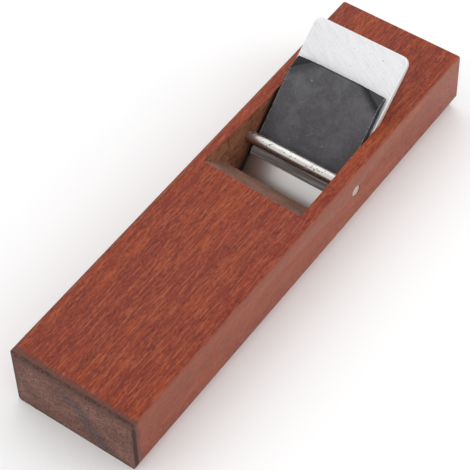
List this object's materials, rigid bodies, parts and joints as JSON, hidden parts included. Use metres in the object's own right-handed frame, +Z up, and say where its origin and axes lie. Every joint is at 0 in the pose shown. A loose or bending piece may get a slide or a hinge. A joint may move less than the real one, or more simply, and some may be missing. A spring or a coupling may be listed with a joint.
{
  "type": "hand plane",
  "caption": "Wooden block hand plane: hardwood body with a sloping bed and open throat, thick plane iron, chip breaker with bent ears, and a steel cross pin.",
  "frame": {"origin": "centre of the sole, on the sole", "axes": "+Z up from the sole, +Y along the length from toe to heel, +X across the width to the right when looking from toe to heel"},
  "size_m": [0.068, 0.26, 0.0598],
  "materials": {
    "body_wood": "reddish-brown hardwood, planed smooth with a thin wiped finish, fine open pores, darker dull end grain",
    "iron_steel": "bright steel with fine diagonal brushing, polished flat face",
    "breaker_steel": "dark blued mill scale, mottled and lightly scratched, with a bright ground bevel at the front",
    "pin_steel": "drawn steel rod with small pits, ends cut flush"
  },
  "bodies": {
    "block": {"body": "body_wood", "cross_pin": "pin_steel"},
    "iron": {"plane_iron": "iron_steel"},
    "breaker": {"chip_breaker": "breaker_steel"}
  },
  "joints": [
    {"name": "iron_slide", "type": "slide", "parent": "block", "child": "iron", "axis": [0, 0.7771, 0.6293], "range_m": [-0.0015, 0.075]},
    {"name": "breaker_slide", "type": "slide", "parent": "iron", "child": "breaker", "axis": [0, 0.7771, 0.6293], "range_m": [-0.0203, 0.075]}
  ]
}
